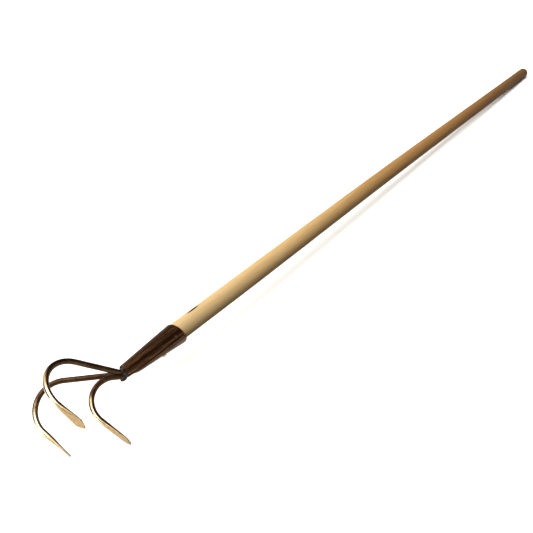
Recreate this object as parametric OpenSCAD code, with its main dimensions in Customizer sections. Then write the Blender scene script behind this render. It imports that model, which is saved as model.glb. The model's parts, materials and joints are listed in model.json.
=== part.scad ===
// Long-handled three-tine hand cultivator, lying at rest on the ground.
//
// The tool is drawn along its own axis first: the neck of the socket is at the
// origin, the handle runs to +X, the tines reach to -X and arch up to +Z.
// lie_down() then turns it the way it comes to rest by itself, on the middle
// tip, the tip of the right tine and the butt of the handle.

/* [Handle] */
// Length of the wooden handle, from the nose inside the socket to the butt
handle_l = 1520; // [900:10:1800]
// Diameter of the parallel part of the handle, above the socket
handle_d = 37; // [30:0.5:46]
// Diameter of the rounded butt end
butt_d = 26.4; // [20:0.2:30]
// Length of the parallel part of the handle, where a rack clip takes hold
parallel_l = 200; // [80:5:300]
// Length of the lead-in just above the socket, where the handle swells to full size
lead_l = 12; // [10:1:30]

/* [Socket] */
// Length of the rolled socket, from neck to mouth
socket_l = 128; // [100:1:180]
// Thickness of the rolled sheet
sheet_t = 2.2; // [1.5:0.1:3]
// How much further the mouth reaches along the underside than at mid height
mouth_rake = 5; // [0:0.5:8]
// Free play between parts that are driven or rolled tightly together
seat_gap = 0.1; // [0.05:0.05:0.2]

/* [Tines] */
// Diameter of the round rod that each tine is forged from
rod_d = 10; // [6:0.5:12]
// Diameter of each shank, drawn down to fit the socket
shank_d = 8.5; // [5:0.5:11]
// Length over which a shank swells to the full rod, in front of the neck
swell_l = 14; // [10:1:30]
// Space that the filler metal takes between neighbouring shanks
rod_gap = 0.8; // [0.4:0.1:2]
// Length of each shank inside the socket
shank_l = 32; // [20:1:36]
// Straight length of each shank in front of the socket
stub_l = 4; // [3:0.5:8]
// Radius of the small bend where a tine leaves the neck
root_bend_r = 12; // [10:1:20]

/* [Left tine] */
// Angle that the left tine turns outwards at the neck
left_splay = 20; // [15:0.5:30]
// Angle at which it climbs from the neck
left_rise = 42.5; // [20:0.5:50]
// Straight length of that climb
left_reach = 76.5; // [40:0.5:120]
// Radius of its big bend
left_bend_r = 51.5; // [35:0.5:70]
// Angle below level at which its leg points
left_drop = 100; // [85:0.5:110]
// Length of the straight leg, tip included
left_leg = 57; // [45:1:90]

/* [Right tine] */
// Angle that the right tine turns outwards at the neck
right_splay = 22.5; // [15:0.5:30]
// Angle at which it climbs from the neck
right_rise = 36; // [20:0.5:50]
// Straight length of that climb
right_reach = 90; // [40:0.5:120]
// Radius of its big bend
right_bend_r = 50; // [35:0.5:70]
// Angle below level at which its leg points
right_drop = 97.5; // [85:0.5:110]
// Length of the straight leg, tip included
right_leg = 59; // [45:1:90]

/* [Middle tine] */
// Angle at which the middle tine climbs from the neck
middle_rise = 33; // [10:1:45]
// Straight length of that climb
middle_reach = 10.5; // [5:0.5:60]
// Radius of the big bend of the middle tine
middle_bend_r = 45; // [35:1:60]
// Angle below level at which the middle leg points
middle_drop = 101.5; // [90:0.5:112]
// Length of the straight leg, tip included
middle_leg = 61; // [45:1:90]

/* [Blades] */
// Widest part of each flattened blade
blade_w = 18; // [12:0.5:24]
// Length over which the rod is flattened into a blade
blade_l = 56; // [40:1:60]
// Distance from the tip to the widest part
shoulder_l = 13; // [10:1:24]
// Width of the rounded tip
tip_w = 2.6; // [2:0.2:5]
// Thickness of the blade at the tip
tip_t = 2.4; // [1.6:0.2:4]

/* [Fixings] */
// Distance from the mouth back to the round-headed screw under the seam
screw_back = 48; // [40:1:60]
// Diameter of the screw
screw_d = 4.5; // [3:0.5:6]
// Diameter of the screw head
screw_head_d = 9; // [7:0.5:12]
// Distance from the mouth back to the nail in the side of the socket
nail_back = 16; // [10:1:30]
// Angle of the nail from the underside, towards the left
nail_angle = 62; // [55:1:120]
// Diameter of the nail
nail_d = 3.4; // [2:0.2:5]
// Diameter of the nail head
nail_head_d = 6; // [5:0.5:9]
// How deep the screw and the nail reach into the wood
fixing_depth = 13; // [8:1:16]

/* [Hidden] */
bronze = [0.72, 0.56, 0.34];
dark_bronze = [0.30, 0.19, 0.12];

rod_r = rod_d / 2;
shank_r = shank_d / 2;
handle_r = handle_d / 2;
butt_r = butt_d / 2;
// The three shanks stand in a triangle, each this far from the axis
bundle_r = (shank_d + rod_gap) / sqrt(3);
neck_r = bundle_r + shank_r + rod_gap / 2;
// The handle's nose starts just behind the shanks
nose_x = shank_l + shank_d;
butt_x = nose_x + handle_l - butt_r;
screw_x = socket_l - screw_back;
nail_x = socket_l - nail_back;
parallel_x = socket_l + lead_l;
taper_x = parallel_x + parallel_l;
// Corner power of the section at the tip; 1 is an ellipse, and less is squarer
flat_corner = 0.62;
// How quickly the tip's outline rounds up to the shoulder; 1 is a straight line
tip_power = 1.2;
// How late the handle's taper sets in; 1 is a straight taper
taper_power = 1.15;

// Edges of the rolled sheet, as angles from the underside towards the left.
// The inner edge starts beside an open gap at the neck, and ends up tucked
// under the outer edge at the mouth.
inner_edge_neck = 50;
inner_edge_mouth = -30;
outer_edge_neck = -5;
outer_edge_mouth = 45;
seam_power = 0.6;
// The lap rises by one sheet thickness between these angles
lift_start = 265;
lift_end = 325;
// and, behind the neck, over this stretch of the socket
lift_x = 10;
lift_l = 16;

// Fineness of the curved shapes
sheet_rows = 12;
sheet_steps = 60;
shank_steps = 2;
root_steps = 5;
reach_steps = 3;
bend_count = 22;
leg_steps = 18;
ring_sides = 16;
taper_cuts = 16;
settle_rounds = 4;

/* Small helpers */
function unit(v) = v / norm(v);
function clamp01(x) = min(1, max(0, x));
function ease(x) = let (c = clamp01(x)) c * c * (3 - 2 * c);
function mix(a, b, u) = a + (b - a) * u;
function signed_power(x, p) = sign(x) * pow(abs(x), p);
function radians(a) = a * PI / 180;

/* Socket cone */
// Inner radius of the socket at a distance from the neck
function cone_r(x) = mix(neck_r, handle_r + seat_gap, min(1, x / socket_l));

/* Tines: chains of short steps, each [length, climb, splay] */
function climb_steps(rise, splay, n) =
    [for (i = [0:n - 1]) [root_bend_r * radians(rise) / n, rise * (i + 0.5) / n, splay * (i + 0.5) / n]];
function bend_steps(r, rise, drop, splay, n) =
    [for (i = [0:n - 1]) [r * radians(rise + drop) / n, mix(rise, -drop, (i + 0.5) / n), splay]];
function straight_steps(l, climb, splay, n) = [for (i = [1:n]) [l / n, climb, splay]];
function tine_steps(splay, rise, reach, bend_r, drop, leg) = concat(
    straight_steps(shank_l + stub_l, 0, 0, shank_steps),
    climb_steps(rise, splay, root_steps),
    straight_steps(reach, rise, splay, reach_steps),
    bend_steps(bend_r, rise, drop, splay, bend_count),
    straight_steps(leg, -drop, splay, leg_steps));

// Unit vector of a step; side is 1 for the right and -1 for the left
function heading(climb, splay, side) =
    [-cos(climb) * cos(splay), side * cos(climb) * sin(splay), sin(climb)];
function step_vector(s, side) = s[0] * heading(s[1], s[2], side);
function step_or_stay(steps, i, side) = i < len(steps) ? step_vector(steps[i], side) : [0, 0, 0];
function chain(start, steps, side) = [
    for (i = 0, p = start; i <= len(steps); p = p + step_or_stay(steps, i, side), i = i + 1)
    p];
function length_after(steps, i) = i >= len(steps) ? 0 : steps[i][0] + length_after(steps, i + 1);

// Half width, half thickness and corner power of the section, by distance from the tip
function half_width(q) = q > shoulder_l
    ? mix(rod_r, blade_w / 2, ease((blade_l - q) / (blade_l - shoulder_l)))
    : mix(tip_w / 2, blade_w / 2, 1 - pow(1 - q / shoulder_l, tip_power));
function half_thickness(q) = mix(tip_t / 2, rod_r, ease(q / blade_l));
function corner_power(q) = mix(flat_corner, 1, ease(q / blade_l));
// Shrinks the section to the shank's, by distance from the shank's inner end
function swell(p) = mix(shank_r / rod_r, 1, ease((p - shank_l - stub_l) / swell_l));

// One ring of the skin, across the direction of travel
function ring(centre, climb, splay, side, q, scale) =
    let (across = [side * sin(splay), cos(splay), 0] * scale * half_width(q),
         up = [sin(climb) * cos(splay), -side * sin(climb) * sin(splay), cos(climb)],
         above = up * scale * half_thickness(q),
         power = corner_power(q))
    [for (j = [0:ring_sides - 1])
        let (a = 360 * j / ring_sides)
        centre + across * signed_power(cos(a), power) + above * signed_power(sin(a), power)];
function ring_angle(steps, i, k) =
    (steps[max(0, i - 1)][k] + steps[min(len(steps) - 1, i)][k]) / 2;
function tine_skin(start, steps, side) =
    let (centres = chain(start, steps, side))
    [for (i = [0:len(steps)])
        let (climb = ring_angle(steps, i, 1), splay = ring_angle(steps, i, 2),
             q = length_after(steps, i), scale = swell(length_after(steps, 0) - q))
        each ring(centres[i], climb, splay, side, q, scale)];

left_steps = tine_steps(left_splay, left_rise, left_reach, left_bend_r, left_drop, left_leg);
right_steps = tine_steps(right_splay, right_rise, right_reach, right_bend_r, right_drop, right_leg);
middle_steps = tine_steps(0, middle_rise, middle_reach, middle_bend_r, middle_drop, middle_leg);
function outer_start(side) = [shank_l, side * bundle_r * sin(60), bundle_r * cos(60)];
middle_start = [shank_l, 0, -bundle_r];
right_skin = tine_skin(outer_start(1), right_steps, 1);
left_skin = tine_skin(outer_start(-1), left_steps, -1);
middle_skin = tine_skin(middle_start, middle_steps, 1);

/* The way the tool comes to rest */
butt_centre = [butt_x, 0, 0];
function lowest(points, up) =
    let (h = points * up, low = min(h)) points[search([low], h)[0]];
// Upward normal of the plane through a and b that touches the rounded butt from below
function seat_normal(a, b) =
    let (along = unit(b - a),
         away = (butt_centre - a) - ((butt_centre - a) * along) * along,
         side = unit(cross(along, away)),
         up = side.z > 0 ? side : -side,
         lean = butt_r / norm(away))
    sqrt(1 - lean * lean) * up + lean * unit(away);
function settle(up, rounds) = rounds == 0
    ? up
    : settle(seat_normal(lowest(middle_skin, up), lowest(right_skin, up)), rounds - 1);
tip_points = [middle_skin[len(middle_skin) - 1], right_skin[len(right_skin) - 1]];
rest_z = settle(seat_normal(tip_points[0], tip_points[1]), settle_rounds);
rest_x = unit([1, 0, 0] - rest_z.x * rest_z);
rest_y = cross(rest_z, rest_x);
all_skins = concat(left_skin, middle_skin, right_skin);
low_x = min(all_skins * rest_x);
high_x = butt_centre * rest_x + butt_r;
low_y = min(all_skins * rest_y);
high_y = max(all_skins * rest_y);
rest_shift = -[(low_x + high_x) / 2, (low_y + high_y) / 2, butt_centre * rest_z - butt_r];

module lie_down() {
    multmatrix([
        [rest_x.x, rest_x.y, rest_x.z, rest_shift.x],
        [rest_y.x, rest_y.y, rest_y.z, rest_shift.y],
        [rest_z.x, rest_z.y, rest_z.z, rest_shift.z],
        [0, 0, 0, 1]])
    children();
}

/* Shapes shared by the sub-parts */
// Turns a shape that stands on Z so that it lies along the handle
module along_handle() {
    rotate([0, 90, 0]) children();
}

// Puts a shape that stands on Z on a spoke of the socket, pointing outwards
module on_spoke(x, angle, r) {
    translate([x, 0, 0]) rotate([angle, 0, 0]) translate([0, 0, -r]) rotate([180, 0, 0]) children();
}

// Skin of closed rings, one after another, with flat ends
module ring_solid(points, sides) {
    rows = len(points) / sides;
    walls = [for (i = [0:rows - 2], j = [0:sides - 1])
        let (a = i * sides + j, b = i * sides + (j + 1) % sides)
        each [[a, b, b + sides], [a, b + sides, a + sides]]];
    near_end = [for (j = [sides - 1:-1:0]) j];
    far_end = [for (j = [0:sides - 1]) (rows - 1) * sides + j];
    polyhedron(points, concat(walls, [near_end], [far_end]));
}

/* Rolled socket */
function seam_edge(neck, mouth, u) = mix(neck, mouth, pow(u, seam_power));
function sheet_angle(u, v) = mix(
    seam_edge(inner_edge_neck, inner_edge_mouth, u),
    360 + seam_edge(outer_edge_neck, outer_edge_mouth, u), v);
function sheet_lift(x, angle) = (sheet_t + seat_gap)
    * ease((x - lift_x) / lift_l) * ease((angle - lift_start) / (lift_end - lift_start));
function sheet_point(u, v, depth) =
    let (angle = sheet_angle(u, v),
         x = u * (socket_l + mouth_rake * cos(angle)),
         r = cone_r(x) + sheet_lift(x, angle) + depth)
    [x, -r * sin(angle), -r * cos(angle)];
function sheet_row(u) = concat(
    [for (j = [0:sheet_steps]) sheet_point(u, j / sheet_steps, sheet_t)],
    [for (j = [sheet_steps:-1:0]) sheet_point(u, j / sheet_steps, 0)]);

module rolled_sheet() {
    sides = 2 * (sheet_steps + 1);
    points = [for (i = [0:sheet_rows]) each sheet_row(i / sheet_rows)];
    walls = [for (i = [0:sheet_rows - 1], j = [0:sides - 1])
        let (a = i * sides + j, b = i * sides + (j + 1) % sides)
        each [[a, b, b + sides], [a, b + sides, a + sides]]];
    last = sheet_rows * sides;
    ends = [for (j = [0:sheet_steps - 1])
        let (a = j, b = j + 1, c = sides - 2 - j, d = sides - 1 - j)
        each [[c, b, a], [d, c, a], [a + last, b + last, c + last], [a + last, c + last, d + last]]];
    polyhedron(points, concat(walls, ends));
}

/* Screw and nail */
screw_seat_r = cone_r(screw_x) + 2 * sheet_t + 2 * seat_gap;
nail_seat_r = cone_r(nail_x) + sheet_t + seat_gap;

// A round shank that runs inwards from its seat, with a domed head outside
module headed_pin(shank_d, head_d, head_h, seat_r, inner_r) {
    pin_l = fixing_depth + seat_r - inner_r;
    dome = [for (a = [15:15:90]) [head_d / 2 * cos(a), head_h * sin(a)]];
    translate([0, 0, -pin_l]) cylinder(d = shank_d, h = pin_l);
    rotate_extrude() polygon(concat([[0, 0], [head_d / 2, 0]], dome));
}

// A round-headed screw with a slot across its head
module screw_shape() {
    head_h = screw_head_d / 3;
    slot_w = screw_d / 4;
    difference() {
        headed_pin(screw_d, screw_head_d, head_h, screw_seat_r, cone_r(screw_x));
        translate([-screw_head_d, -slot_w / 2, head_h / 2])
            cube([2 * screw_head_d, slot_w, head_h]);
    }
}

module fixing_holes() {
    on_spoke(screw_x, 0, 0) cylinder(d = screw_d, h = 2 * handle_d);
    on_spoke(nail_x, -nail_angle, 0) cylinder(d = nail_d, h = 2 * handle_d);
}

/* Sub-parts */
function taper_r(v) = mix(handle_r, butt_r, pow(v, taper_power));
nose_outline = [[0, nose_x], [cone_r(nose_x) - seat_gap, nose_x]];
swell_outline = [[cone_r(socket_l) - 2 * seat_gap, socket_l], [handle_r, parallel_x], [handle_r, taper_x]];
taper_outline = [for (i = [1:taper_cuts]) [taper_r(i / taper_cuts), mix(taper_x, butt_x, i / taper_cuts)]];
shaft_outline = concat(nose_outline, swell_outline, taper_outline, [[0, butt_x]]);

module handle() {
    color("burlywood") lie_down() difference() {
        union() {
            along_handle() rotate_extrude() polygon(shaft_outline);
            translate(butt_centre) sphere(r = butt_r);
        }
        on_spoke(screw_x, 0, cone_r(screw_x) - fixing_depth) cylinder(d = screw_d, h = handle_d);
        on_spoke(nail_x, -nail_angle, cone_r(nail_x) - fixing_depth) cylinder(d = nail_d, h = handle_d);
    }
}

module socket() {
    color(dark_bronze) lie_down() difference() {
        rolled_sheet();
        fixing_holes();
    }
}

module left_tine() {
    color(bronze) lie_down() ring_solid(left_skin, ring_sides);
}

module middle_tine() {
    color(bronze) lie_down() ring_solid(middle_skin, ring_sides);
}

module right_tine() {
    color(bronze) lie_down() ring_solid(right_skin, ring_sides);
}

// Filler metal that joins the three shanks to each other and to the neck
module neck_filler() {
    filler_l = 10;
    front = [[0, -stub_l], [bundle_r + shank_r / 2, -stub_l], [neck_r - seat_gap, -stub_l / 4]];
    back = [[neck_r - seat_gap, 0], [cone_r(filler_l) - seat_gap, filler_l], [0, filler_l]];
    color("darkgoldenrod") lie_down() difference() {
        along_handle() rotate_extrude() polygon(concat(front, back));
        for (a = [60, 180, 300])
            translate([-2 * stub_l, bundle_r * sin(a), bundle_r * cos(a)])
                along_handle() cylinder(r = shank_r, h = 2 * filler_l + 2 * stub_l);
    }
}

module seam_screw() {
    color(bronze) lie_down() on_spoke(screw_x, 0, screw_seat_r) screw_shape();
}

module socket_nail() {
    color("dimgray") lie_down() on_spoke(nail_x, -nail_angle, nail_seat_r)
        headed_pin(nail_d, nail_head_d, nail_head_d / 5, nail_seat_r, cone_r(nail_x));
}

handle();
socket();
left_tine();
middle_tine();
right_tine();
neck_filler();
seam_screw();
socket_nail();
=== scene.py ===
"""A long-handled three-tine hand cultivator, lying at rest on a pale floor.

Every piece is worked out in the tool's own axes: the neck of the socket is at the origin,
x runs up the handle, the tines reach to -x and arch up to +z. to_row() then lays the tool down.
"""

import json
import math

import bpy
import numpy as np
from mathutils import Matrix, Vector


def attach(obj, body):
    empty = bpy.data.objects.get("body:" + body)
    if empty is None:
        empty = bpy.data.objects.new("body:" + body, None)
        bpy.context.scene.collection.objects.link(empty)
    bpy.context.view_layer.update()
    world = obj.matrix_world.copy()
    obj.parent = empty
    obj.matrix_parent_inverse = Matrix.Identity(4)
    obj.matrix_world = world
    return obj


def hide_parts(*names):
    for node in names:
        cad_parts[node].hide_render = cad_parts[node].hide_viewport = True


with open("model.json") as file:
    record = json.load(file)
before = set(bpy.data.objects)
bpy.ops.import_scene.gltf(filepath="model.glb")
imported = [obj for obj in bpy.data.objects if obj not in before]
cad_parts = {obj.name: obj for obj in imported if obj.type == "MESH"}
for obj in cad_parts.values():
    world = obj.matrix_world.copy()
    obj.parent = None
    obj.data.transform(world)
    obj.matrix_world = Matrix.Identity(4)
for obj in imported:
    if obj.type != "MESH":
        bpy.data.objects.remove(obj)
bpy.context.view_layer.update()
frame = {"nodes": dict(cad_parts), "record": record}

MM = 0.001

# ---------------------------------------------------------------- sizes of the tool, in millimetres
handle_l, handle_r, butt_r = 1520.0, 18.5, 13.2
socket_l, sheet_t, mouth_rake, seat_gap = 128.0, 2.2, 5.0, 0.1
lead_l, parallel_l = 12.0, 200.0
rod_r, shank_r, swell_l, rod_gap = 5.0, 4.25, 14.0, 0.8
shank_l, stub_l, root_bend_r = 32.0, 4.0, 12.0
blade_w, blade_l, shoulder_l, tip_w, tip_t, tip_power = 18.0, 56.0, 13.0, 2.6, 2.4, 1.2
left = dict(splay=20.0, rise=42.5, reach=76.5, bend_r=51.5, drop=100.0, leg=57.0)
right = dict(splay=22.5, rise=36.0, reach=90.0, bend_r=50.0, drop=97.5, leg=59.0)
middle = dict(splay=0.0, rise=33.0, reach=10.5, bend_r=45.0, drop=101.5, leg=61.0)
# how late the handle's taper sets in, and how square the blade's section is at its tip
taper_power, tip_corner = 1.15, 0.62
# the sheet's edges at the neck and at the mouth, as angles from the underside towards the left
inner_edge_neck, inner_edge_mouth, outer_edge_neck, outer_edge_mouth = 50.0, -30.0, -5.0, 45.0
seam_power = 0.6
# the lap rises over this stretch behind the neck, and between these angles
lap_x, lap_l, lap_start, lap_end = 10.0, 16.0, 265.0, 325.0

bundle_r = (2 * shank_r + rod_gap) / math.sqrt(3)
neck_r = bundle_r + shank_r + rod_gap / 2
nose_x = shank_l + 2 * shank_r
butt_x = nose_x + handle_l - butt_r
parallel_x = socket_l + lead_l
taper_x = parallel_x + parallel_l

# ---------------------------------------------------------------- the way the tool lies
# The rack clip's mount gives the handle's direction and a point on its axis. The tool is rolled
# about that axis until a second tine meets the ground.
clip = next(m for m in frame["record"]["mounts"] if m["name"] == "rack_clip")
roll = math.radians(44.530)
along = np.array(clip["axis"]) / np.linalg.norm(clip["axis"])
level = np.array([0.0, 1.0, 0.0])
upward = np.cross(along, level)
axes = np.array([
    along,
    math.cos(roll) * level - math.sin(roll) * upward,
    math.sin(roll) * level + math.cos(roll) * upward,
])
neck = np.array(clip["pos_m"]) - along * (parallel_x + parallel_l / 2) * MM


def to_row(points):
    """Millimetres in the tool's own axes to metres in the shared frame."""
    return neck + np.asarray(points) * MM @ axes


# ---------------------------------------------------------------- mesh helpers
def ease(x):
    """Smooth step: 3x^2 - 2x^3, held between 0 and 1."""
    c = np.clip(x, 0.0, 1.0)
    return c * c * (3.0 - 2.0 * c)


def mix(a, b, u):
    """Straight-line blend from a to b."""
    return a + (b - a) * u


def ripple(a, b, seed):
    """Gentle unevenness of height 1: sine waves across the surface, each turned and finer than the last."""
    waves, turn_step, finer_step, phase_step = 4, 2.4, 0.61, 1.3
    total = 0.0
    for k in range(waves):
        turn = seed * 1.7 + k * turn_step
        crossing = a * math.cos(turn) + b * math.sin(turn)
        total = total + np.sin(crossing * (1.0 + finer_step * k) + seed + phase_step * k)
    return total / waves


def make_object(name, verts, faces, material, attributes=()):
    """A smooth-shaded mesh object at the origin, with named attributes on its points."""
    mesh = bpy.data.meshes.new(name)
    mesh.from_pydata(verts.tolist(), [], [tuple(f) for f in faces])
    mesh.polygons.foreach_set("use_smooth", np.ones(len(mesh.polygons), dtype=bool))
    for key, values in attributes:
        layer = mesh.attributes.new(key, "FLOAT", "POINT")
        layer.data.foreach_set("value", np.asarray(values, dtype=np.float32))
    mesh.materials.append(material)
    mesh.update()
    piece = bpy.data.objects.new(name, mesh)
    bpy.context.collection.objects.link(piece)
    return piece


def tube_faces(rows, sides):
    """Quads between neighbouring rings, rings closed round, counted row by row."""
    i, j = np.meshgrid(np.arange(rows - 1), np.arange(sides), indexing="ij")
    a, b = i * sides + j, i * sides + (j + 1) % sides
    return np.stack([a, b, b + sides, a + sides], axis=-1).reshape(-1, 4)


def tube_mesh(name, rings, material, attributes=()):
    """A closed skin through rings of points, rows by sides by 3, with a fan of triangles over each end."""
    rows, sides, _ = rings.shape
    verts = np.concatenate([rings.reshape(-1, 3), rings[:1].mean(axis=1), rings[-1:].mean(axis=1)])
    j = np.arange(sides)
    k = (j + 1) % sides
    first, last, base = rows * sides, rows * sides + 1, (rows - 1) * sides
    faces = tube_faces(rows, sides).tolist()
    faces += np.stack([np.full(sides, first), k, j], axis=-1).tolist()
    faces += np.stack([np.full(sides, last), base + j, base + k], axis=-1).tolist()
    full = [(key, np.concatenate([v.reshape(-1), v[0, :1], v[-1, :1]])) for key, v in attributes]
    return make_object(name, to_row(verts), faces, material, full)


# ---------------------------------------------------------------- material helpers
class Maker:
    """Adds nodes to one material and links them in short calls."""

    def __init__(self, name):
        self.material = bpy.data.materials.new(name)
        self.material.use_nodes = True
        self.tree = self.material.node_tree
        self.tree.nodes.clear()
        self.shader = self.node("ShaderNodeBsdfPrincipled")
        output = self.node("ShaderNodeOutputMaterial")
        self.link(self.shader.outputs["BSDF"], output.inputs["Surface"])
        self.place = self.node("ShaderNodeTexCoord").outputs["Object"]

    def node(self, kind, **settings):
        made = self.tree.nodes.new(kind)
        for key, value in settings.items():
            setattr(made, key, value)
        return made

    def link(self, start, end):
        self.tree.links.new(start, end)

    def put(self, value, socket):
        """Links a socket, or sets a plain value."""
        if isinstance(value, bpy.types.NodeSocket):
            self.link(value, socket)
        else:
            socket.default_value = value

    def attribute(self, name):
        return self.node("ShaderNodeAttribute", attribute_name=name).outputs["Fac"]

    def maths(self, operation, *values, clamp=False):
        made = self.node("ShaderNodeMath", operation=operation, use_clamp=clamp)
        for value, socket in zip(values, made.inputs):
            self.put(value, socket)
        return made.outputs[0]

    def along_tool(self, scale):
        """Object coordinates turned onto the tool's own axes, then stretched by scale."""
        turned = self.node("ShaderNodeVectorRotate", rotation_type="EULER_XYZ", invert=True)
        turned.inputs["Rotation"].default_value = Matrix(axes.T.tolist()).to_euler()
        turned.inputs["Center"].default_value = neck
        self.link(self.place, turned.inputs["Vector"])
        scaled = self.node("ShaderNodeMapping")
        scaled.inputs["Scale"].default_value = scale
        self.link(turned.outputs[0], scaled.inputs["Vector"])
        return scaled.outputs[0]

    def noise(self, vector, scale, detail=4.0, rough=0.5, twist=0.0):
        made = self.node("ShaderNodeTexNoise")
        self.link(vector, made.inputs["Vector"])
        made.inputs["Scale"].default_value = scale
        made.inputs["Detail"].default_value = detail
        made.inputs["Roughness"].default_value = rough
        made.inputs["Distortion"].default_value = twist
        return made.outputs["Fac"]

    def ramp(self, value, *stops):
        """A colour ramp from (position, colour) stops."""
        made = self.node("ShaderNodeValToRGB")
        self.put(value, made.inputs["Fac"])
        ramp = made.color_ramp
        while len(ramp.elements) < len(stops):
            ramp.elements.new(0.5)
        for element, (position, colour) in zip(ramp.elements, stops):
            element.position = position
            element.color = (*colour, 1.0)
        return made.outputs["Color"]

    def span(self, value, low, high, to_low=0.0, to_high=1.0):
        made = self.node("ShaderNodeMapRange")
        for item, socket in zip((value, low, high, to_low, to_high), made.inputs):
            self.put(item, socket)
        return made.outputs["Result"]

    def blend(self, factor, first, second, mode="MIX"):
        made = self.node("ShaderNodeMix", data_type="RGBA", blend_type=mode)
        self.put(factor, made.inputs["Factor"])
        self.put(first if isinstance(first, bpy.types.NodeSocket) else (*first, 1.0), made.inputs["A"])
        self.put(second if isinstance(second, bpy.types.NodeSocket) else (*second, 1.0), made.inputs["B"])
        return made.outputs["Result"]

    def bump(self, height, distance, strength=1.0, under=None):
        made = self.node("ShaderNodeBump")
        made.inputs["Strength"].default_value = strength
        made.inputs["Distance"].default_value = distance
        self.link(height, made.inputs["Height"])
        if under is not None:
            self.link(under, made.inputs["Normal"])
        return made.outputs["Normal"]

    def finish(self, colour, rough, normal, metallic=0.0):
        self.put(colour, self.shader.inputs["Base Color"])
        self.put(rough, self.shader.inputs["Roughness"])
        self.shader.inputs["Metallic"].default_value = metallic
        self.link(normal, self.shader.inputs["Normal"])
        return self.material


# ---------------------------------------------------------------- materials
def ash_wood():
    """Ash: long fibres, rows of pores, faint flame figure, paler at the socket and browner at the butt."""
    m = Maker("ash_wood")
    fibre_space = m.along_tool((3.0, 90.0, 90.0))
    pore_space = m.along_tool((14.0, 420.0, 420.0))
    flame_space = m.along_tool((1.4, 26.0, 26.0))
    fibre = m.noise(fibre_space, 9.0, 6.0, 0.6, 0.3)
    pores = m.noise(pore_space, 3.0, 3.0, 0.6)
    flame = m.noise(flame_space, 2.2, 3.0, 0.55, 1.1)
    rings = m.maths("SINE", m.maths("MULTIPLY", flame, 58.0))
    rings = m.span(rings, -1.0, 1.0)
    # the wood is paler at the socket and darker towards the butt
    toward_butt = m.attribute("toward_butt")
    drift = m.maths("ADD", toward_butt, m.span(flame, 0.3, 0.7, -0.05, 0.05))
    colour = m.ramp(
        drift,
        (0.0, (0.56, 0.405, 0.205)),
        (0.22, (0.50, 0.335, 0.150)),
        (0.5, (0.33, 0.185, 0.066)),
        (0.76, (0.225, 0.115, 0.040)),
        (1.0, (0.135, 0.068, 0.029)),
    )
    dark = m.blend(1.0, colour, (0.72, 0.64, 0.52), mode="MULTIPLY")
    colour = m.blend(m.span(fibre, 0.32, 0.68, 0.45, 0.0), colour, dark)
    colour = m.blend(m.maths("MULTIPLY", rings, 0.22), colour, dark)
    pore_mask = m.span(pores, 0.60, 0.72)
    colour = m.blend(m.maths("MULTIPLY", pore_mask, 0.30), colour, (0.16, 0.08, 0.03))
    # a long dark mark with a brown rim, near-black at its middle
    dark_mark = m.attribute("dark_mark")
    colour = m.blend(m.span(dark_mark, 0.05, 0.35, 0.0, 0.45), colour, (0.38, 0.20, 0.08))
    colour = m.blend(m.span(dark_mark, 0.45, 0.75), colour, (0.012, 0.008, 0.005))
    rough = m.span(pores, 0.3, 0.7, 0.50, 0.66)
    m.shader.inputs["Specular IOR Level"].default_value = 0.12
    fine = m.bump(pores, 0.00012, 0.5)
    return m.finish(colour, rough, m.bump(fibre, 0.0004, 0.35, fine))


def dark_bronze():
    """Bronze sheet under a dark brown patina, with red-brown streaks along the roll and worn lips."""
    m = Maker("dark_bronze")
    streak_space = m.along_tool((5.0, 90.0, 90.0))
    streaks = m.noise(streak_space, 4.0, 5.0, 0.6, 0.4)
    blotches = m.noise(m.place, 55.0, 4.0, 0.6, 0.5)
    grit = m.noise(m.place, 900.0, 3.0, 0.6)
    colour = m.ramp(
        streaks,
        (0.28, (0.014, 0.0065, 0.0035)),
        (0.48, (0.033, 0.014, 0.0065)),
        (0.62, (0.070, 0.031, 0.013)),
        (0.78, (0.14, 0.075, 0.036)),
    )
    colour = m.blend(m.span(blotches, 0.52, 0.72, 0.0, 0.45), colour, (0.014, 0.008, 0.005))
    worn = m.attribute("worn")
    colour = m.blend(m.maths("MULTIPLY", worn, m.span(grit, 0.3, 0.6)), colour, (0.60, 0.40, 0.20))
    rough = m.span(streaks, 0.3, 0.7, 0.46, 0.32)
    fine = m.bump(grit, 0.00010, 0.35)
    return m.finish(colour, rough, m.bump(streaks, 0.0006, 0.30, fine), metallic=1.0)


def tine_bronze():
    """Forged bronze rod: dark brown scale on the arches, rubbed through to pale gold towards the blades; the
    outer face is painted lighter as its lit side and the inner face darker as painted shade, with a painted
    highlight on the lower bend.
    """
    m = Maker("tine_bronze")
    # this mask mixes real wear with painted light: gold where the tine is rubbed and along the shank, a
    # painted lit side on the outer face, painted shade in the dark scale colour on the inner face
    gold_and_lit_side = m.attribute("gold_and_lit_side")
    patches = m.noise(m.place, 70.0, 5.0, 0.6, 0.6)
    grit = m.noise(m.place, 1100.0, 3.0, 0.6)
    draw = m.noise(m.place, 260.0, 2.0, 0.5, 1.5)
    amount = m.maths("ADD", gold_and_lit_side, m.span(patches, 0.35, 0.65, -0.16, 0.16))
    scale = m.blend(m.span(patches, 0.35, 0.65), (0.030, 0.015, 0.008), (0.070, 0.038, 0.019))
    gold = m.blend(m.span(draw, 0.35, 0.65), (0.30, 0.20, 0.095), (0.42, 0.30, 0.155))
    colour = m.blend(m.span(amount, 0.25, 0.75), scale, gold)
    # painted highlight: a lighter band on the outer face of the lower bend, which is also made smoother
    polish_and_highlight = m.attribute("polish_and_highlight")
    colour = m.blend(m.span(polish_and_highlight, 0.1, 0.8, 0.0, 0.85), colour, (0.70, 0.60, 0.44))
    rough = m.maths("SUBTRACT", m.span(amount, 0.2, 0.8, 0.42, 0.34), m.maths("MULTIPLY", polish_and_highlight, 0.14))
    fine = m.bump(grit, 0.00008, 0.4)
    return m.finish(colour, rough, m.bump(draw, 0.0005, 0.25, fine), metallic=1.0)


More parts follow.
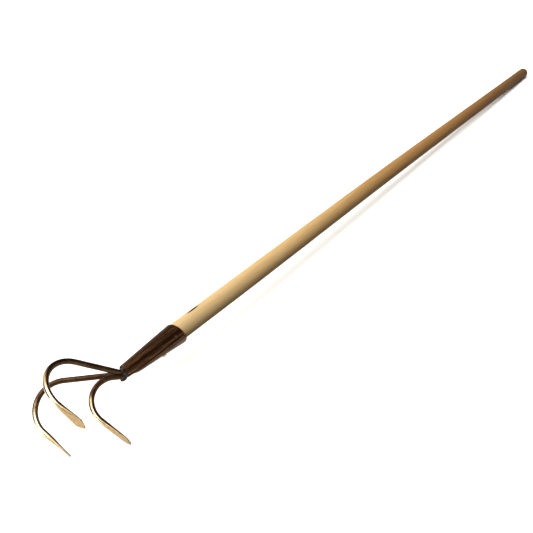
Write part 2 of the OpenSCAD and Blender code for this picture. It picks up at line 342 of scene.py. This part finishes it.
def filler_bronze():
    """Braze: a dark, pitted skin with greyish gold high spots."""
    m = Maker("filler_bronze")
    lumps = m.noise(m.place, 260.0, 5.0, 0.65, 0.6)
    pits = m.noise(m.place, 1300.0, 3.0, 0.6)
    colour = m.ramp(
        lumps,
        (0.34, (0.012, 0.007, 0.005)),
        (0.54, (0.034, 0.020, 0.013)),
        (0.74, (0.15, 0.11, 0.085)),
    )
    rough = m.span(pits, 0.3, 0.7, 0.42, 0.62)
    fine = m.bump(pits, 0.00015, 0.5)
    return m.finish(colour, rough, m.bump(lumps, 0.0012, 0.6, fine), metallic=0.75)


def screw_brass():
    """Dull brass with brown in its low places."""
    m = Maker("screw_brass")
    stain = m.noise(m.place, 420.0, 4.0, 0.6, 0.4)
    scratch = m.noise(m.place, 2400.0, 2.0, 0.5)
    colour = m.ramp(stain, (0.35, (0.22, 0.14, 0.065)), (0.65, (0.66, 0.50, 0.27)))
    return m.finish(colour, m.span(scratch, 0.3, 0.7, 0.30, 0.46), m.bump(scratch, 0.0001, 0.4), metallic=0.9)


def nail_steel():
    """Blackened steel with a trace of rust."""
    m = Maker("nail_steel")
    rust = m.noise(m.place, 800.0, 4.0, 0.6, 0.4)
    grit = m.noise(m.place, 2600.0, 2.0, 0.5)
    colour = m.ramp(rust, (0.4, (0.020, 0.017, 0.015)), (0.72, (0.12, 0.055, 0.025)))
    return m.finish(colour, m.span(grit, 0.3, 0.7, 0.48, 0.68), m.bump(grit, 0.0001, 0.5), metallic=0.7)


def pale_floor():
    """Matt white paint with the faintest mottling."""
    m = Maker("pale_floor")
    mottle = m.noise(m.place, 6.0, 3.0, 0.5)
    colour = m.blend(m.span(mottle, 0.3, 0.7), (0.90, 0.90, 0.895), (0.915, 0.915, 0.91))
    return m.finish(colour, 0.85, m.bump(m.noise(m.place, 400.0), 0.0001, 0.1))


# ---------------------------------------------------------------- socket cone
def cone_r(x):
    """Inner radius of the socket: a straight cone from the neck to the mouth, then parallel."""
    return mix(neck_r, handle_r + seat_gap, np.clip(x / socket_l, 0.0, 1.0))


def spoke(angle):
    """Outward direction at an angle from the underside towards the left, in degrees."""
    a = np.radians(angle)
    return np.stack([np.zeros_like(a), -np.sin(a), -np.cos(a)], axis=-1)


# ---------------------------------------------------------------- handle
def handle_profile():
    """Stations along the handle and their radii: nose, lead-in, parallel part, long taper and round butt."""
    nose = np.linspace(nose_x, socket_l, 30)
    lead = np.linspace(socket_l, parallel_x, 8)[1:]
    parallel = np.linspace(parallel_x, taper_x, 60)[1:]
    v = np.linspace(0.0, 1.0, 320)[1:]
    dome = np.radians(np.linspace(0.0, 86.0, 22))[1:]
    x = np.concatenate([nose, lead, parallel, mix(taper_x, butt_x, v), butt_x + butt_r * np.sin(dome)])
    r = np.concatenate([
        cone_r(nose) - seat_gap,
        mix(float(cone_r(socket_l)) - 2 * seat_gap, handle_r, ease((lead - socket_l) / lead_l)),
        np.full(parallel.shape, handle_r),
        mix(handle_r, butt_r, v ** taper_power),
        butt_r * np.cos(dome),
    ])
    return x, r


def build_handle(material):
    """Turned shaft: rings of the profile's radii, shaved a little uneven, about a slightly bowed axis."""
    sides = 96
    x, r = handle_profile()
    a = np.linspace(0.0, 360.0, sides, endpoint=False)
    X, A = np.meshgrid(x, a, indexing="ij")
    # faint flats left by the spokeshave run along the shaft, and fade out towards the socket and the butt
    shave_h, fade_l = 0.16, 60.0
    free = ease((X - parallel_x) / fade_l) * ease((butt_x - X) / fade_l)
    flats = ripple(X / 60.0, A / 28.0, 3.0) + 0.5 * ripple(X / 18.0, A / 12.0, 5.0)
    R = r[:, None] + shave_h * free * flats
    # the shaft bows upwards and a little to the left between the socket and the butt
    bow_h, bow_way = 1.9, np.array([0.0, -0.25, 0.97])
    bow = bow_h * np.sin(np.pi * np.clip((X - parallel_x) / (butt_x - parallel_x), 0.0, 1.0)) ** 2
    rings = R[..., None] * spoke(A)
    rings[..., 0] = X
    rings += bow[..., None] * bow_way
    # share of the way from the socket to the butt; the wood's colour darkens along it
    toward_butt = np.clip((X - socket_l) / (butt_x - socket_l), 0.0, 1.0)
    # one long dark mark, high on the left side, just above the socket
    mark_x, mark_angle, mark_half_l, mark_half_a = 180.0, 140.0, 14.0, 9.0
    off = np.sqrt(((X - mark_x) / mark_half_l) ** 2 + ((A - mark_angle) / mark_half_a) ** 2)
    dark_mark = np.clip(1.6 - off, 0.0, 1.0)
    return tube_mesh("ash_handle", rings, material, [("toward_butt", toward_butt), ("dark_mark", dark_mark)])


# ---------------------------------------------------------------- rolled socket
def seam_edge(at_neck, at_mouth, u):
    """Angle of one edge of the sheet at the share u of the way from the neck to the mouth."""
    return mix(at_neck, at_mouth, u ** seam_power)


def build_socket(material):
    """Sheet rolled round the cone: each row is a closed strip with rounded edges, its outer end lifted by one
    thickness to lap over its inner end. Rows run from the neck to a raked mouth, thinned at both rims."""
    # one strip: its place v across the sheet, its push past the edge, and its depth from mid thickness
    steps, rounds = 190, np.radians([75.0, 45.0, 15.0])
    v_half = np.concatenate([np.zeros(rounds.size), np.linspace(0.0, 1.0, steps), np.ones(rounds.size)])
    push_half = np.concatenate([-np.cos(rounds[::-1]), np.zeros(steps), np.cos(rounds)])
    depth_half = np.concatenate([np.sin(rounds[::-1]), np.ones(steps), np.sin(rounds)])
    v = np.concatenate([v_half, v_half[::-1]])
    push = np.concatenate([push_half, push_half[::-1]])
    depth = np.concatenate([depth_half, -depth_half[::-1]])
    # rows crowd together at both rims, where the sheet loses a little over half its thickness
    rim = np.array([0.0, 0.0025, 0.006, 0.011])
    rows = np.concatenate([rim, np.linspace(0.02, 0.98, 96), 1.0 - rim[::-1]])
    thin = 1.0 - 0.55 * np.clip(1.0 - np.minimum(rows, 1.0 - rows) / rim[-1], 0.0, 1.0) ** 2
    U, V = np.meshgrid(rows, v, indexing="ij")
    start = seam_edge(inner_edge_neck, inner_edge_mouth, U)
    end = 360.0 + seam_edge(outer_edge_neck, outer_edge_mouth, U)
    A = mix(start, end, V)
    X = U * (socket_l + mouth_rake * np.cos(np.radians(A)))
    base = cone_r(X)
    A = A + np.degrees(push * sheet_t / 2 / base)
    lift = (sheet_t + seat_gap) * ease((X - lap_x) / lap_l) * ease((A - lap_start) / (lap_end - lap_start))
    dents = 0.16 * ripple(X / 13.0, A / 24.0, 2.0) + 0.05 * ripple(X / 4.0, A / 9.0, 7.0)
    # the free lip stands off a little towards the mouth
    flare = 0.9 * ease((V - 0.94) / 0.06) * ease((U - 0.35) / 0.65)
    R = base + lift + flare + sheet_t / 2 + depth * sheet_t / 2 * thin[:, None] + dents * ease(U * 12.0)
    points = R[..., None] * spoke(A)
    points[..., 0] = X
    count = len(v)
    faces = tube_faces(len(rows), count).tolist()
    j = np.arange(count // 2 - 1)
    last = (len(rows) - 1) * count
    faces += np.stack([count - 1 - j, count - 2 - j, j + 1, j], axis=-1).tolist()
    faces += np.stack([last + j, last + j + 1, last + count - 2 - j, last + count - 1 - j], axis=-1).tolist()
    # hands and soil have worn the seam's edges, and the mouth's rim a little less
    edge = np.abs(push)[None, :] * np.ones_like(U)
    rims = np.clip(1.0 - (1.0 - U) / 0.012, 0.0, 1.0)
    worn = np.clip(0.20 * edge + 0.12 * rims, 0.0, 1.0).reshape(-1)
    return make_object("rolled_socket", to_row(points.reshape(-1, 3)), faces, material, [("worn", worn)])


# ---------------------------------------------------------------- tines
def tine_line(splay, rise, reach, bend_r, drop, leg, side, start):
    """Centre line of a tine, added up from short steps with a climb and a splay each: straight shank,
    small bend up and outwards, straight climb, big bend over, straight leg. Gives points and angles."""
    def stretch(l, climb_0, climb_1, splay_0, splay_1, n):
        u = (np.arange(n) + 0.5) / n
        return np.stack([np.full(n, l / n), mix(climb_0, climb_1, u), mix(splay_0, splay_1, u)], axis=-1)

    steps = np.concatenate([
        stretch(shank_l + stub_l, 0, 0, 0, 0, 24),
        stretch(root_bend_r * math.radians(rise), 0, rise, 0, splay, 14),
        stretch(reach, rise, rise, splay, splay, max(16, int(reach))),
        stretch(bend_r * math.radians(rise + drop), rise, -drop, splay, splay, 110),
        stretch(leg, -drop, -drop, splay, splay, 90),
    ])
    climb, turn = np.radians(steps[:, 1]), np.radians(steps[:, 2])
    level_way = np.cos(climb)
    way = np.stack([-level_way * np.cos(turn), side * level_way * np.sin(turn), np.sin(climb)], axis=-1)
    points = np.concatenate([[start], start + np.cumsum(way * steps[:, :1], axis=0)])
    angles = np.concatenate([steps[:1, 1:], (steps[1:, 1:] + steps[:-1, 1:]) / 2, steps[-1:, 1:]])
    to_tip = np.concatenate([np.cumsum(steps[::-1, 0])[::-1], [0.0]])
    return points, np.radians(angles[:, 0]), np.radians(angles[:, 1]), to_tip


def blade_section(q):
    """Half width, half thickness and corner power by distance q from the tip: round rod, then a leaf that
    widens to its shoulder and closes to a point, thinning and squaring as it is hammered out."""
    widening = mix(rod_r, blade_w / 2, ease((blade_l - q) / (blade_l - shoulder_l)))
    point = mix(tip_w / 2, blade_w / 2, 1.0 - (1.0 - np.clip(q / shoulder_l, 0.0, 1.0)) ** tip_power)
    width = np.where(q > shoulder_l, widening, point)
    flat = ease(q / blade_l)
    return width, mix(tip_t / 2, rod_r, flat), mix(tip_corner, 1.0, flat)


def build_tine(name, shape, side, start, seed, wear_and_lit_turn, material):
    """Skin of a tine: rings across its centre line, each a rounded outline of its width and thickness there.
    The gold face, partly rubbed through and partly painted as the lit side, looks outwards from the bend,
    turned about the tine by a given number of degrees."""
    sides = 44
    points, climb, turn, q = tine_line(**shape, side=side, start=np.array(start))
    across = np.stack([side * np.sin(turn), np.cos(turn), np.zeros_like(turn)], axis=-1)
    rising = np.sin(climb)
    above = np.stack([rising * np.cos(turn), -side * rising * np.sin(turn), np.cos(climb)], axis=-1)
    width, thick, power = blade_section(q)
    swell = mix(shank_r / rod_r, 1.0, ease((q[0] - q - shank_l - stub_l) / swell_l))
    width, thick = width * swell, thick * swell
    a = np.radians(np.linspace(0.0, 360.0, sides, endpoint=False))
    Q, A = np.meshgrid(q, a, indexing="ij")
    cos_a = np.sign(np.cos(A)) * np.abs(np.cos(A)) ** power[:, None]
    sin_a = np.sign(np.sin(A)) * np.abs(np.sin(A)) ** power[:, None]
    coarse_blows = 0.012 * ripple(Q / 9.0, np.sin(A) * 2.0, seed)
    fine_blows = 0.008 * ripple(Q / 3.5, np.cos(A) * 3.0, seed + 4)
    hammered = 1.0 + coarse_blows + fine_blows
    rings = (points[:, None, :]
             + across[:, None, :] * (width[:, None] * cos_a * hammered)[..., None]
             + above[:, None, :] * (thick[:, None] * sin_a * hammered)[..., None])
    # the lower bend and the blade are rubbed through to gold; round the tine the outer face is painted
    # lighter as the lit side and the inner face keeps the dark scale as painted shade
    wear_starts, wear_fades, highlight_at, highlight_spread = 135.0, 55.0, 74.0, 20.0
    outward = np.sin(A - math.radians(wear_and_lit_turn))
    gold_and_lit_side = ease((wear_starts - Q) / wear_fades) * ease((outward + 0.05) / 0.45)
    # filler metal has run along the shank
    gold_and_lit_side = np.maximum(gold_and_lit_side, ease((Q - q[0] + shank_l + 1.0) / 3.0))
    # painted highlight on the outer face of the lower bend, also made smoother
    polish_and_highlight = np.exp(-((Q - highlight_at) / highlight_spread) ** 2) * ease((outward - 0.1) / 0.6)
    return tube_mesh(name, rings, material, [("gold_and_lit_side", gold_and_lit_side), ("polish_and_highlight", polish_and_highlight)])


# ---------------------------------------------------------------- braze at the neck
def ball(centre, radii, seed, rows=20, sides=32):
    """Points and faces of a lumpy ellipsoid: radii times the unit ball, with ripples on its surface."""
    t = np.radians(np.linspace(4.0, 176.0, rows))
    p = np.radians(np.linspace(0.0, 360.0, sides, endpoint=False))
    T, P = np.meshgrid(t, p, indexing="ij")
    unit = np.stack([np.sin(T) * np.cos(P), np.sin(T) * np.sin(P), np.cos(T)], axis=-1)
    lump = 1.0 + 0.06 * ripple(unit[..., 0] * 3.0, unit[..., 1] * 3.0 + unit[..., 2], seed)
    rings = np.array(centre) + unit * lump[..., None] * np.array(radii)
    verts = np.concatenate([rings.reshape(-1, 3), rings[:1].mean(axis=1), rings[-1:].mean(axis=1)])
    j = np.arange(sides)
    k = (j + 1) % sides
    n, base = rows * sides, (rows - 1) * sides
    faces = tube_faces(rows, sides)[:, ::-1].tolist()
    faces += np.stack([np.full(sides, n), j, k], axis=-1).tolist()
    faces += np.stack([np.full(sides, n + 1), base + k, base + j], axis=-1).tolist()
    return verts, faces


def build_filler(material):
    """Filler metal: lumpy balls in the neck and strung along each shank's root, melted into one skin."""
    # centre and radii: the plug in the neck, the fillet in front of it, and the run under the middle shank
    lumps = [
        ((4.0, 0.0, 0.0), (5.6, 8.0, 8.0)),
        ((-2.0, 0.0, 0.6), (4.5, 5.6, 4.2)),
        ((-8.5, -0.5, -9.4), (7.5, 4.0, 4.4)),
    ]
    # each string shrinks as it runs out from the neck, and the middle one starts at its second ball
    string = (-3.0, 0.0, 3.0, 6.0)
    shanks = (
        (right, 1, outer_root(1), 0),
        (left, -1, outer_root(-1), 0),
        (middle, 1, middle_root, 1),
    )
    for shape, side, start, first in shanks:
        points, _, _, q = tine_line(**shape, side=side, start=np.array(start))
        for k in range(first, len(string)):
            at = points[np.argmin(np.abs(q[0] - q - shank_l - string[k]))]
            size = shank_r + 1.2 - 0.3 * k
            lumps.append((tuple(at), (size + 1.0, size, size)))
    verts, faces, count = [], [], 0
    for seed, (centre, radii) in enumerate(lumps):
        v, f = ball(centre, radii, seed)
        verts.append(v)
        faces += [[i + count for i in face] for face in f]
        count += len(v)
    piece = make_object("neck_braze", to_row(np.concatenate(verts)), faces, material)
    melt = piece.modifiers.new("melt", "REMESH")
    melt.mode = "VOXEL"
    melt.voxel_size = 0.55 * MM
    melt.use_smooth_shade = True
    settle = piece.modifiers.new("settle", "SMOOTH")
    settle.factor = 0.6
    settle.iterations = 7
    return piece


# ---------------------------------------------------------------- assembly
def outer_root(side):
    """Inner end of an outer shank, at the top corners of the bundle."""
    return (shank_l, side * bundle_r * math.sin(math.radians(60)), bundle_r * math.cos(math.radians(60)))


middle_root = (shank_l, 0.0, -bundle_r)

wood = ash_wood()
sheet = dark_bronze()
forged = tine_bronze()
braze = filler_bronze()

pieces = [
    (build_handle(wood), "handle", "handle_wood"),
    (build_socket(sheet), "socket", "dark_bronze"),
    (build_tine("forged_left_tine", left, -1, outer_root(-1), 1.0, 0.0, forged),
     "left_tine", "tine_bronze"),
    (build_tine("forged_middle_tine", middle, 1, middle_root, 2.0, 0.0, forged),
     "middle_tine", "tine_bronze"),
    (build_tine("forged_right_tine", right, 1, outer_root(1), 3.0, 55.0, forged),
     "right_tine", "tine_bronze"),
    (build_filler(braze), "neck_filler", "filler_bronze"),
]
for piece, node, slot_name in pieces:
    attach(piece, "root")
    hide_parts(node)

# the screw and the nail keep their own meshes
for node, material in (("seam_screw", screw_brass()), ("socket_nail", nail_steel())):
    mesh = frame["nodes"][node].data
    mesh.materials.clear()
    mesh.materials.append(material)


# ---------------------------------------------------------------- floor, light and camera
def build_floor():
    """A wide pale floor, a little below the tool's lowest points."""
    reach, height = 14.0, -0.0003
    corners = [(-reach, -reach), (reach, -reach), (reach, reach), (-reach, reach)]
    points = np.array([(x, y, height) for x, y in corners])
    return make_object("floor", points, [[0, 1, 2, 3]], pale_floor())


def soft_sun(name, toward, strength, spread, colour=(1.0, 1.0, 1.0)):
    """A broad, even light from the direction toward, spread over an angle in degrees."""
    lamp = bpy.data.lights.new(name, "SUN")
    lamp.energy, lamp.color, lamp.angle = strength, colour, math.radians(spread)
    made = bpy.data.objects.new(name, lamp)
    made.rotation_euler = Vector(toward).to_track_quat("Z", "Y").to_euler()
    bpy.context.collection.objects.link(made)


def build_camera():
    """Camera that looks from low on the tine side up the length of the handle, tilted about its own axis."""
    azimuth, elevation, tilt = math.radians(-41.254), math.radians(27.441), math.radians(-17.143)
    distance = 1.6137
    aim = Vector((-0.3174, -0.0078, 0.0557))
    forward = Vector((
        -math.sin(azimuth) * math.cos(elevation),
        math.cos(azimuth) * math.cos(elevation),
        -math.sin(elevation),
    ))
    flat = forward.cross(Vector((0, 0, 1))).normalized()
    steep = flat.cross(forward)
    across = flat * math.cos(tilt) + steep * math.sin(tilt)
    over = steep * math.cos(tilt) - flat * math.sin(tilt)
    data = bpy.data.cameras.new("camera")
    data.sensor_width = 36.0
    data.lens = 54.03
    data.clip_start, data.clip_end = 0.05, 60.0
    camera = bpy.data.objects.new("camera", data)
    turned = Matrix((across, over, -forward)).transposed().to_4x4()
    turned.translation = aim - forward * distance
    camera.matrix_world = turned
    bpy.context.collection.objects.link(camera)
    bpy.context.scene.camera = camera


floor = build_floor()
# the floor stays out of soft bounces, so that the underside of the tool keeps its shade
floor.visible_diffuse = False
soft_sun("overhead", (-0.25, -0.22, 1.0), 4.6, 66.0, (1.0, 0.985, 0.96))
soft_sun("behind", (0.05, 0.85, 0.66), 2.6, 36.0, (1.0, 0.94, 0.85))
soft_sun("tine_side", (-1.0, 0.05, 0.12), 1.2, 40.0)
world = bpy.data.worlds.new("studio")
world.use_nodes = True
background = world.node_tree.nodes["Background"]
background.inputs["Color"].default_value = (0.98, 0.98, 1.0, 1.0)
background.inputs["Strength"].default_value = 0.06
bpy.context.scene.world = world
bpy.context.scene.view_settings.view_transform = "Standard"
build_camera()
